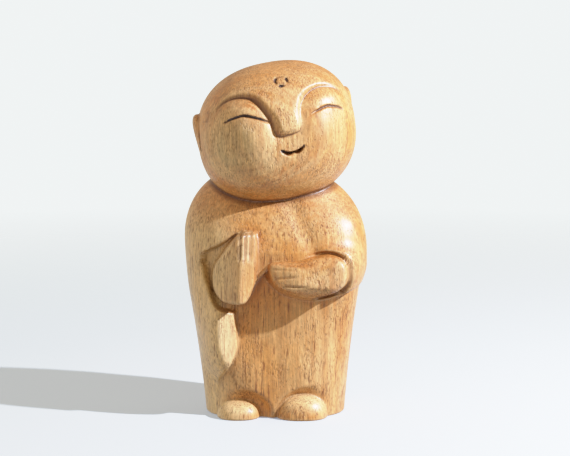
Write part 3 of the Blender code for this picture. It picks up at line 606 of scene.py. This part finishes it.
# The figure: the forms above, joined in the order a carver finds them, and the skin of points on the wood.
# The skin makes one closed mesh, and measures of it are kept by which the finish paints shade into its cuts
# and hollows, rubs its edges pale, darkens its end grain and paints a highlight on the tops of the feet.
RINGS = 400
RING_POINTS = 245
CROWN_RINGS = 70
BODY_TOP = 150  # hands, sleeves and robe all end below this height
AXIS_Y = -4.0
CROWN_FROM = 163.0
CORE_HALF = 34.0  # half width of the flat core that the surface is looked for around
CORE_REACH = 24.0  # about how far the surface lies from the core
LOOK_FROM = 75.0  # the surface is looked for from this far out
NEAR_ENOUGH = 0.02  # and is found within this distance
STEP_IN = 0.75  # each step is this share of the distance
MOST_STEPS = 70
CORE_TURNS = 1441
FRONT_CLOSER = 2.4  # how much closer the columns stand in front than behind
FRONT_COMES = (-0.1, 0.35)  # cosines of the turn between which they do
CLOSER_RINGS = ((146, 190, 1.5), (60, 108, 1.2))  # between two heights, the rings stand this much closer,
CLOSER_FADE = 5  # coming and going over this height
LENGTH_BLURS = 6
TETRAHEDRON = np.array([[1, -1, -1], [-1, -1, 1], [-1, 1, -1], [1, 1, 1]]) * 0.12
LONGEST_MOVE = 2.0  # a point moves no further at once, and the slope squared counts as
LEAST_SLOPE = 0.15  # no less than this
SETTLING = (0, 0) + (0.6,) * 9  # how strongly each pass spreads the points
BATCH = 12000


def statue(points):
    """The whole carving: robe, panel, hands and feet, then the head, and the underside's edge broken."""
    z = points[:, 2]
    wood = FAR + np.maximum(z - BODY_TOP, 0)
    body = z < BODY_TOP
    place = points[body]
    local = sleeves(robe(place), place)
    local = open_panel(local, place)
    local = hands(local, place)
    wood[body] = feet(local, place)
    wood = add(wood, within(points, *HEAD_BOX, head), HEAD_JOIN)
    return blend_max(wood, -z, SOLE_EASE)


def distance_of(points):
    """The statue's distance at any number of points, some thousands at a time on every core."""
    with ThreadPool() as cores:
        return np.concatenate(cores.map(statue, np.array_split(points, len(points) // BATCH + 1)))


def project(points):
    """Move each point on to the surface along the field's slope, by the distance over the slope's square.
    Samples at the corners of a small tetrahedron give the slope. Also returns the outward directions."""
    samples = [distance_of(points + corner) for corner in TETRAHEDRON]
    rise = sum(np.outer(sample, corner) for sample, corner in zip(samples, TETRAHEDRON))
    slope = rise / (TETRAHEDRON[:, 0] ** 2).sum()
    steep = (slope**2).sum(-1, keepdims=True)
    gap = np.clip(sum(samples) / 4, -LONGEST_MOVE, LONGEST_MOVE)[:, None]
    return points - gap * slope / np.maximum(steep, LEAST_SLOPE), slope / np.sqrt(steep)


def columns_round():
    """Where each column looks from, a flat core inside the figure, and which way: the turn less half the sine
    of twice the turn, so nearly straight ahead in front and swinging round at the sides. The columns stand at
    even lengths round the core's reach, and lengths in front are counted as longer."""
    turn = np.linspace(-math.pi, math.pi, CORE_TURNS)
    heading = turn - np.sin(2 * turn) / 2
    x = CORE_HALF * np.sin(turn) + CORE_REACH * np.sin(heading)
    y = -CORE_REACH * np.cos(heading)
    weight = 1 + (FRONT_CLOSER - 1) * ramp(np.cos(turn[1:]), *FRONT_COMES)
    length = np.concatenate([[0], np.cumsum(weight * np.hypot(np.diff(x), np.diff(y)))])
    wanted = np.linspace(0, length[-1], RING_POINTS, endpoint=False)
    turn = np.interp(wanted, length, turn)
    return CORE_HALF * np.sin(turn), turn - np.sin(2 * turn) / 2


def first_surface():
    """Rings of points where straight lines towards the core, level and then fanned over the crown, meet the
    wood: each point steps inwards by a share of its distance until it touches."""
    across, heading = columns_round()
    level = np.linspace(0, CROWN_FROM, RINGS - CROWN_RINGS, endpoint=False)
    height = np.concatenate([level, np.full(CROWN_RINGS, CROWN_FROM)])[:, None]
    lift = np.concatenate([0 * level, np.linspace(0, math.pi / 2, CROWN_RINGS + 1)[:-1]])[:, None]
    start = np.stack(np.broadcast_arrays(np.cos(lift) * across, AXIS_Y, height), -1).reshape(-1, 3)
    away = [np.cos(lift) * np.sin(heading), -np.cos(lift) * np.cos(heading), np.sin(lift) + 0 * heading]
    away = np.stack(away, -1).reshape(-1, 3)
    reach = np.full(len(start), LOOK_FROM)
    moving = np.arange(len(start))
    for _ in range(MOST_STEPS):
        gap = distance_of(start[moving] + away[moving] * reach[moving, None])
        reach[moving] = np.maximum(reach[moving] - np.maximum(STEP_IN * gap, NEAR_ENOUGH), 0)
        moving = moving[gap > NEAR_ENOUGH]
        if not len(moving):
            break
    return (start + away * reach[:, None]).reshape(RINGS, RING_POINTS, 3)


def even_rings(rings):
    """Slide the rings until they are evenly spaced: each column is read again at equal shares of its length,
    where lengths with closer rings count for more, and are averaged with the columns beside them."""
    lengths = np.linalg.norm(np.diff(rings, axis=0), axis=-1)
    level = rings[1:, :, 2]
    for low, high, closer in CLOSER_RINGS:
        share = ramp(level, low - CLOSER_FADE, low) * (1 - ramp(level, high, high + CLOSER_FADE))
        lengths *= 1 + (closer - 1) * share
    for _ in range(LENGTH_BLURS):
        lengths = (np.roll(lengths, 1, 1) + 2 * lengths + np.roll(lengths, -1, 1)) / 4
    travelled = np.concatenate([np.zeros((1, RING_POINTS)), np.cumsum(lengths, 0)])
    travelled /= travelled[-1]
    wanted = np.linspace(0, 1, RINGS)
    columns = [[np.interp(wanted, travelled[:, column], rings[:, column, axis]) for axis in range(3)]
               for column in range(RING_POINTS)]
    return np.array(columns).transpose(2, 0, 1)


def settle(rings):
    """Spread the points over the surface: each moves towards the middle of its four neighbours, less the
    outward part of that move, and is then put back on the surface."""
    for strength in SETTLING:
        around = np.roll(rings, 1, 1) + np.roll(rings, -1, 1)
        pull = np.zeros_like(rings)
        pull[1:-1] = (rings[2:] + rings[:-2] + around[1:-1]) / 4 - rings[1:-1]
        on_wood, outward = project(rings.reshape(-1, 3))
        outward = outward.reshape(rings.shape)
        pull -= (pull * outward).sum(-1, keepdims=True) * outward
        rings = on_wood.reshape(rings.shape) + strength * pull
    return rings


rings = settle(even_rings(first_surface()))
skin, facing = project(rings.reshape(-1, 3))
skin[:, 2] = np.maximum(skin[:, 2], 0)
skin[:RING_POINTS, 2] = 0
crown = skin[-RING_POINTS:].mean(0, keepdims=True)
sole = np.array([[0, AXIS_Y, 0]])
middle = (skin.min(0) + skin.max(0)) / 2
STATUE_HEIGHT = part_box(NODE)[1].z
PART = STATUE_HEIGHT / skin[:, 2].max()

CREASE_REACH = 1.2  # how far outside the surface a cut and a hollow are told, and how far
HOLLOW_REACH = 6.0
RIDGE_REACH = 1.5  # inside it an edge
GROOVE_SHADE_FADE = 0.5  # painted shade is left in the brow's groove to about this far beyond its foot
GROOVE_SHADE_ENDS = (0.57, 0.62)  # and to these shares of the way along it


def shelter(points, outward, reach):
    """How closed in each point is: 1 less the distance found a reach outside the surface, over that reach."""
    return np.clip(1 - distance_of(points + outward * reach) / reach, 0, 1)


def sharpness(points, outward, reach):
    """How thin the wood is at each point: 1 less the depth found a reach inside it, over that reach."""
    return np.clip(1 + distance_of(points - outward * reach) / reach, 0, 1)


def painted_groove_shade(points):
    """How much painted shade the brow's groove is given: by the depth of its wall, fading just beyond its
    foot, and none on the lit right side of the nose."""
    face = (points - HEAD_CENTRE) @ directions(HEAD_TURN, FACE_TIP)
    _, along, _, beyond, depth = groove(face[:, 0], face[:, 2])
    held = depth / GROOVE[:, 2].max() * np.exp(-beyond / GROOVE_SHADE_FADE)
    return held * (1 - ramp(along, *GROOVE_SHADE_ENDS)) * (face[:, 1] < -FACE_FADE[0])


def ring_squares(rings, columns):
    """The squares between neighbouring rings of points, closed round: four point numbers each."""
    ring = np.arange(rings - 1)[:, None] * columns
    here = np.arange(columns)
    after = (here + 1) % columns
    above = ring + columns
    return np.stack([ring + here, ring + after, above + after, above + here], -1).reshape(-1, 4)


def fans():
    """The triangles from the last ring to the crown, and from the first to the sole."""
    here = np.arange(RING_POINTS)
    after = (here + 1) % RING_POINTS
    last = (RINGS - 1) * RING_POINTS
    crown_at = 0 * here + RINGS * RING_POINTS
    over_crown = np.stack([last + here, last + after, crown_at], -1)
    return over_crown.tolist() + np.stack([after, here, crown_at + 1], -1).tolist()


def in_scene(name, data):
    """A new object in the scene, made of a mesh, a light or a camera."""
    obj = bpy.data.objects.new(name, data)
    bpy.context.scene.collection.objects.link(obj)
    return obj


def figure():
    """The skin as a mesh, set over the middle of its box. Five measures of each point are kept on it for the
    finish; the upward measure is how far the skin faces upwards: it darkens end grain on the robe and head
    and paints a highlight on the tops of the feet."""
    every = np.concatenate([skin, crown, sole])
    every = (every - (middle[0], middle[1], 0)) * PART
    mesh = bpy.data.meshes.new("jizo")
    mesh.from_pydata(every.tolist(), [], ring_squares(RINGS, RING_POINTS).tolist() + fans())
    smooth = np.ones(len(mesh.polygons), bool)
    smooth[-RING_POINTS:] = False
    mesh.polygons.foreach_set("use_smooth", smooth)
    measures = {"crease": shelter(skin, facing, CREASE_REACH), "hollow": shelter(skin, facing, HOLLOW_REACH),
                "ridge": sharpness(skin, facing, RIDGE_REACH), "end_grain_and_lit_tops": np.maximum(facing[:, 2], 0),
                "groove_shade": painted_groove_shade(skin)}
    for name, values in measures.items():
        mesh.attributes.new(name, "FLOAT", "POINT").data.foreach_set("value", np.append(values, [0, 0]))
    return in_scene("carved_jizo", mesh)


jizo = figure()


# The wood and its finish: straight-grained tan hardwood with open pores, darker where the growth bands come
# near the skin, paler sapwood on the raised hand's side, rubbed with clear wax. Shade is painted into the
# cuts, creases, hollows and the brow's groove, and a painted highlight pales the tops of the feet.
class Wire:
    """One socket of a finish. Arithmetic on wires adds the Math node that works it out."""

    def __init__(self, finish, socket):
        self.finish = finish
        self.socket = socket

    def joined(self, operation, first, second):
        """The Math node that works out one operation on two wires or numbers."""
        return self.finish.node("ShaderNodeMath", {"operation": operation}, {0: first, 1: second})

    def __add__(self, other):
        return self.joined("ADD", self, other)

    def __sub__(self, other):
        return self.joined("SUBTRACT", self, other)

    def __rsub__(self, other):
        return self.joined("SUBTRACT", other, self)

    def __mul__(self, other):
        return self.joined("MULTIPLY", self, other)

    def __pow__(self, other):
        return self.joined("POWER", self, other)

    __radd__ = __add__
    __rmul__ = __mul__


class Finish:
    """A material, or the light of a room, built node by node round its shader."""

    def __init__(self, owner, shader="Principled BSDF"):
        owner.use_nodes = True
        self.owner = owner
        self.tree = owner.node_tree
        self.inputs = self.tree.nodes[shader].inputs

    def node(self, kind, settings, sockets, output=0):
        """Adds a node, sets its settings, then its sockets to values or wires; returns one output's wire."""
        made = self.tree.nodes.new(kind)
        for name, value in settings.items():
            setattr(made, name, value)
        self.feed(made.inputs, sockets)
        return Wire(self, made.outputs[output])

    def feed(self, sockets, values):
        """Links each named socket to its wire, or sets it to its plain value."""
        for name, value in values.items():
            if isinstance(value, Wire):
                self.tree.links.new(value.socket, sockets[name])
            else:
                sockets[name].default_value = value

    def noise(self, place, size, stretch, detail=2.0, rough=0.5):
        """Noise whose grains are the size across, in parts, and longer up the grain by the stretch."""
        across = 1 / (size * PART)
        scale = (across, across, across / stretch)
        scaled = self.node("ShaderNodeMapping", {}, {"Vector": place, "Scale": scale})
        return self.node("ShaderNodeTexNoise", {}, {"Vector": scaled, "Scale": 1.0, "Detail": detail,
                                                    "Roughness": rough, "Distortion": 0.0})

    def between(self, value, low, high):
        """0 below low and 1 above high, straight between them."""
        return self.node("ShaderNodeMapRange", {}, {"Value": value, "From Min": low, "From Max": high})

    def mix(self, share, first, second, kind="MIX"):
        """The first colour with a share of the second mixed in, or multiplied in."""
        settings = {"data_type": "RGBA", "blend_type": kind}
        return self.node("ShaderNodeMix", settings, {0: share, 6: first, 7: second}, 2)

    def tinted(self, colour, rows):
        """Mixes in one tint after another. A row says by what measure, between which two levels of it the
        tint comes in, the share of it that shows, and the tint."""
        for measure, low, high, share, tint in rows:
            colour = self.mix(self.between(measure, low, high) * share, colour, tint)
        return colour


def rgb(red, green, blue):
    """A colour from its eight-bit display values: each over 255, to the power 2.2."""
    return tuple((value / 255) ** 2.2 for value in (red, green, blue)) + (1.0,)


TAN = rgb(234, 190, 134)
HONEY = rgb(220, 157, 90)
RUST = rgb(174, 104, 46)
SAPWOOD = rgb(238, 210, 160)
# the pores' colour, which also serves as painted shade in cuts, hollows and the brow's groove
PORE_AND_SHADE = rgb(100, 56, 22)
FLECK = rgb(122, 62, 24)
# painted deep shade for the darkest cuts
DEEP_SHADE = rgb(56, 28, 10)
WEATHERED = rgb(168, 150, 104)
# painted shade for the hollows on the sapwood side
OLIVE_SHADE = rgb(158, 124, 66)
PITH = (0.012, 0.085)  # the log's centre lay behind the figure: across and back, in metres
SWAY = 0.010  # it sways along the log by up to half of this
BANDS_ROUND = 0.012  # how much a radian round it and a metre up count along the bands
BANDS_UP = 0.015
HEART_EDGE = (0.119, 0.111)  # honey heartwood comes in between these distances from it
SAP_ACROSS = (-0.016, -0.032)  # sapwood comes in between these places across, and these heights
SAP_UP = (0.125, 0.105)
CHEST_UP = (0.110, 0.125)  # heights between which the head's finish takes over from the robe's,
FEET_UP = (0.025, 0.045)  # the robe's from the feet's
HEM_UP = (0.060, 0.045)  # and, downwards, the hem's from the robe's
CHEEK_AT = (-0.024, -0.036, 0.154)  # a pale patch on one cheek, and within it a weathered one
CHEEK_PALE = (0.024, 0.008)
CHEEK_WEATHERED = (0.020, 0.008)
SHADY_SIDE = (0.018, 0.012)  # cuts in the head get the darkest painted shade on this side of here, across
PORES_OPEN = (0.71, 0.80)  # levels of the pores' noise between which they come in
COAT = 0.45
COAT_ROUGHNESS = 0.36
GRAIN_DEPTH = 0.0002  # how deep the grain is felt, in metres, and how strongly
GRAIN_STRENGTH = 0.8


def growth(wood, place, across, back, up):
    """How far a place lies from the log's centre, which sways along the log, and the place laid out by the
    growth bands: that distance, the turn round the centre and the height, the last two shrunk."""
    sway = wood.noise(place, 45, 2.5) - 0.5
    from_pith = ((across - PITH[0]) ** 2.0 + (back - PITH[1]) ** 2.0) ** 0.5 + sway * SWAY
    turn = wood.node("ShaderNodeMath", {"operation": "ARCTAN2"}, {0: across - PITH[0], 1: PITH[1] - back})
    bands = wood.node("ShaderNodeCombineXYZ", {}, {0: from_pith, 1: turn * BANDS_ROUND, 2: up * BANDS_UP})
    return from_pith, bands


def waxed_wood():
    """Tan and honey bands, tinted by noises drawn out along the grain and by the place on the figure, with a
    painted highlight on the tops of the feet. Fibres and specks darken them, then pores, painted shade in the
    cuts, hollows and the brow's groove, and pale rubbed edges go on top. Gloss and bump come from the same
    noises."""
    wood = Finish(bpy.data.materials.new("waxed_wood"))
    place = wood.node("ShaderNodeTexCoord", {}, {}, 3)
    across, back, up = (wood.node("ShaderNodeSeparateXYZ", {}, {0: place}, axis) for axis in range(3))
    crease, hollow, ridge, end_grain_and_lit_tops, groove_shade = (
        wood.node("ShaderNodeAttribute", {"attribute_name": name}, {}, 2)
        for name in ("crease", "hollow", "ridge", "end_grain_and_lit_tops", "groove_shade"))
    from_pith, bands = growth(wood, place, across, back, up)

    band = wood.noise(bands, 5.0, 1.0, 3.0, 0.6)
    fine_band = wood.noise(bands, 2.2, 1.0, 3.0, 0.65)
    streak = wood.noise(place, 2.2, 24, 3.0, 0.65)
    stripe = wood.noise(place, 5.0, 90, 1.0, 0.5)
    fibre = wood.noise(place, 0.85, 22, 2.0, 0.6)
    cloud = wood.noise(place, 16, 1.6, 3.0, 0.55)
    speckle = wood.noise(place, 1.2, 1.8, 2.0, 0.7)
    strings = wood.noise(place, 1.5, 40, 1.0, 0.5)
    pore_share = wood.noise(place, 12, 1.4, 2.0, 0.5)
    pores = wood.noise(place, 0.66, 3.4, 1.0, 0.4) + strings * 0.20 + (pore_share - 0.5) * 0.60
    dashes = wood.noise(place, 0.95, 9, 1.0, 0.4) + strings * 0.60
    dents = wood.noise(place, 4, 1.6, 1.0)

    on_head = wood.between(up, *CHEST_UP)
    above_feet = wood.between(up, *FEET_UP)
    at_hem = wood.between(up, *HEM_UP)
    sap = wood.between(across, *SAP_ACROSS) * wood.between(up, *SAP_UP)
    cheek = wood.node("ShaderNodeVectorMath", {"operation": "DISTANCE"}, {0: place, 1: CHEEK_AT}, 1)

    colour = wood.mix(wood.between(band, 0.40, 0.62), TAN, HONEY)
    colour = wood.tinted(colour, (
        (fine_band, 0.48, 0.70, 0.40 + end_grain_and_lit_tops * 0.40 + on_head * 0.25, RUST),
        (streak, 0.45, 0.66, 0.68, RUST),
        (stripe, 0.53, 0.66, (1 - on_head) * 0.60, RUST),
        (cloud, 0.42, 0.68, 0.40, SAPWOOD),
        (sap, 0.0, 1.0, 0.70, SAPWOOD),
        (cheek, *CHEEK_PALE, 0.55, SAPWOOD),
        (cheek, *CHEEK_WEATHERED, wood.between(streak, 0.42, 0.66) * 0.60, WEATHERED),
        (from_pith, *HEART_EDGE, (1 - sap) * 0.45, HONEY),
        (end_grain_and_lit_tops, 0.25, 0.95, above_feet * 0.50, RUST),
        # painted highlight: the upward-facing tops of the feet are paled
        (end_grain_and_lit_tops, 0.10, 0.50, (1 - above_feet) * 0.40, SAPWOOD),
    ))
    shade = (0.65 + wood.between(fibre, 0.30, 0.70) * 0.46 + wood.between(speckle, 0.30, 0.70) * 0.30
             - wood.between(end_grain_and_lit_tops, 0.30, 1.00) * above_feet * 0.16)
    colour = wood.mix(1.0, colour, shade, "MULTIPLY")

    colour = wood.tinted(colour, (
        (pores, *PORES_OPEN, 0.36, PORE_AND_SHADE),
        (dashes, 0.92, 1.05, (1 - on_head) * 0.65, FLECK),
        # painted shade in hollows: rust, turning olive on the sapwood side, with less of it at the hem
        (hollow, 0.20, 0.75, 0.50 - at_hem * 0.35, wood.mix(sap, RUST, OLIVE_SHADE)),
        (ridge, 0.10, 0.55, 0.35, SAPWOOD),
        # painted shade in the head's hollows
        (hollow, 0.30, 0.65, on_head * 0.50, PORE_AND_SHADE),
        # painted shade in cuts and creases, darkest in the head's cuts on the shady side
        (crease, 0.05, 0.40, 0.45 + on_head * 0.35 - at_hem * 0.20, PORE_AND_SHADE),
        (crease, 0.35, 0.70, wood.between(across, *SHADY_SIDE) * on_head, DEEP_SHADE),
        # painted shade in the brow's groove, beside the nose's shaded left side
        (groove_shade, 0.08, 0.60, 0.75, PORE_AND_SHADE),
    ))

    open_pores = wood.between(pores, *PORES_OPEN)
    rough = 0.46 + open_pores * 0.25 + (fibre - 0.5) * 0.16 + (speckle - 0.5) * 0.2 + (cloud - 0.5) * 0.12
    lift = fibre * 0.5 + speckle * 0.7 - open_pores * 1.0 + dents * 1.4
    felt = wood.node("ShaderNodeBump", {}, {"Strength": GRAIN_STRENGTH, "Distance": GRAIN_DEPTH,
                                            "Height": lift})
    wood.feed(wood.inputs, {"Base Color": colour, "Roughness": rough, "Coat Weight": COAT,
                            "Coat Roughness": COAT_ROUGHNESS, "Normal": felt})
    return wood.owner


jizo.data.materials.append(waxed_wood())
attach(jizo, "root")
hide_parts(NODE)


# The table that the statue stands on: one wide pale painted sheet. It thins away into the light of the room,
# so that it has no far edge, and it glows a little, so that the shadow on it stays light and neutral.
TABLE_REACH = 3.0  # in metres
TABLE_RINGS = 60
TABLE_TURNS = 96
TABLE_FIRST = 0.02  # the first ring's share of the way out, before it is squared
TABLE_FADE = (1.1, 0.25)  # it is gone at the first distance and whole at the second
TABLE_PAINT = rgb(208, 213, 217)
TABLE_GLOW = (0.10, 0.17, 0.26, 1.0)
TABLE_ROUGHNESS = 0.6


def table_sheet():
    """A disc: rings whose radius grows as the square of their share of the way out, at even turns."""
    turn = np.linspace(0, 2 * math.pi, TABLE_TURNS, endpoint=False)
    reach = TABLE_REACH * np.linspace(TABLE_FIRST, 1, TABLE_RINGS)[:, None] ** 2
    flat_rings = np.stack([reach * np.cos(turn), reach * np.sin(turn), 0 * reach * turn], -1).reshape(-1, 3)
    squares = ring_squares(TABLE_RINGS, TABLE_TURNS)[:, ::-1]
    mesh = bpy.data.meshes.new("table")
    mesh.from_pydata(flat_rings.tolist(), [], squares.tolist() + [list(range(TABLE_TURNS))])
    return in_scene("table", mesh)


table = table_sheet()
paint = Finish(bpy.data.materials.new("pale_table"))
place = paint.node("ShaderNodeTexCoord", {}, {}, 3)
from_middle = paint.node("ShaderNodeVectorMath", {"operation": "LENGTH"}, {0: place}, 1)
paint.feed(paint.inputs, {
    "Base Color": TABLE_PAINT, "Emission Color": TABLE_GLOW, "Emission Strength": 1.0,
    "Roughness": TABLE_ROUGHNESS, "Alpha": paint.between(from_middle, *TABLE_FADE)})
table.data.materials.append(paint.owner)
table.visible_diffuse = False


# The light: one small lamp low on the right, which throws a fairly crisp shadow, and the light of a pale
# room. Its ceiling, its far wall and its left side are brighter than the side that the statue faces.
LAMP_TURN = 69.0
LAMP_RISE = 32.0
LAMP_AWAY = 1.0
LAMP_SIZE = 0.025
LAMP_POWER = 16.8
LAMP_COLOUR = (0.90, 0.99, 1.15)
WALLS = (1.02, 1.11, 1.11, 1.0)  # as seen behind the statue
BOUNCE = (0.86, 0.68, 0.43, 1.0)  # the warmer light that the room throws back
WINDOW = (0.80, 0.75, 0.67, 1.0)  # and the paler light from the left
ROOM_LOW = 0.37  # brightness of the near side, then what the other sides add to it
ROOM_CEILING = 0.28
ROOM_FAR = 0.30
ROOM_LEFT = 0.48
WHITE = 1.5  # the light that shows as white, and how shares of it show below that
SHOULDER = ((0.4, 0.6), (0.547, 0.79), (0.667, 0.865), (0.8, 0.92), (1.0, 0.97))
ALL_COLOURS = 3  # the curve that acts on red, green and blue alike


def towards(turn, rise):
    """The direction at a turn to the right of the front and a rise above level, both in degrees."""
    a = math.radians(turn)
    b = math.radians(rise)
    return Vector((math.sin(a) * math.cos(b), -math.cos(a) * math.cos(b), math.sin(b)))


lamp = bpy.data.lights.new("lamp", "AREA")
lamp.size = LAMP_SIZE
lamp.energy = LAMP_POWER
lamp.color = LAMP_COLOUR
lamp_object = in_scene("lamp", lamp)
lamp_object.location = Vector((0, 0, STATUE_HEIGHT / 2)) + towards(LAMP_TURN, LAMP_RISE) * LAMP_AWAY
lamp_object.rotation_euler = towards(LAMP_TURN, LAMP_RISE).to_track_quat("Z", "Y").to_euler()


room = Finish(bpy.data.worlds.new("room"), "Background")
way = room.node("ShaderNodeTexCoord", {}, {}, 0)
right, far, high = (room.node("ShaderNodeSeparateXYZ", {}, {0: way}, axis) for axis in range(3))
leftwards = room.between(right, 0.0, -1.0)
seen = room.node("ShaderNodeLightPath", {}, {}, 0)
glow = (room.between(high, 0.0, 1.0) * ROOM_CEILING + room.between(far, 0.0, 1.0) * ROOM_FAR
        + leftwards * ROOM_LEFT + ROOM_LOW)
bounce = room.mix(leftwards, BOUNCE, WINDOW)
room.feed(room.inputs, {"Color": room.mix(seen, bounce, WALLS), "Strength": seen + (1 - seen) * glow})
bpy.context.scene.world = room.owner

view = bpy.context.scene.view_settings
view.view_transform = "Standard"
view.use_curve_mapping = True
view.curve_mapping.white_level = (WHITE, WHITE, WHITE)
tone = view.curve_mapping.curves[ALL_COLOURS].points
tone[1].location = SHOULDER[-1]
for light, shown in SHOULDER[:-1]:
    tone.new(light, shown)
view.curve_mapping.update()


# The camera: a longish lens on a stand in front of the statue, a little above its crown. It looks straight to
# the back and slightly down.
CAMERA_AT = (5.4, -850.0, 207.7)  # in parts, like the figure's forms
CAMERA_DIP = 6.9
SENSOR = 36.0
LENS = 94.358

camera = bpy.data.cameras.new("camera")
camera.sensor_width = SENSOR
camera.lens = LENS
camera_object = in_scene("camera", camera)
camera_object.location = (Vector(CAMERA_AT) - Vector((middle[0], middle[1], 0))) * PART
camera_object.rotation_euler = (math.radians(90 - CAMERA_DIP), 0, 0)
bpy.context.scene.camera = camera_object
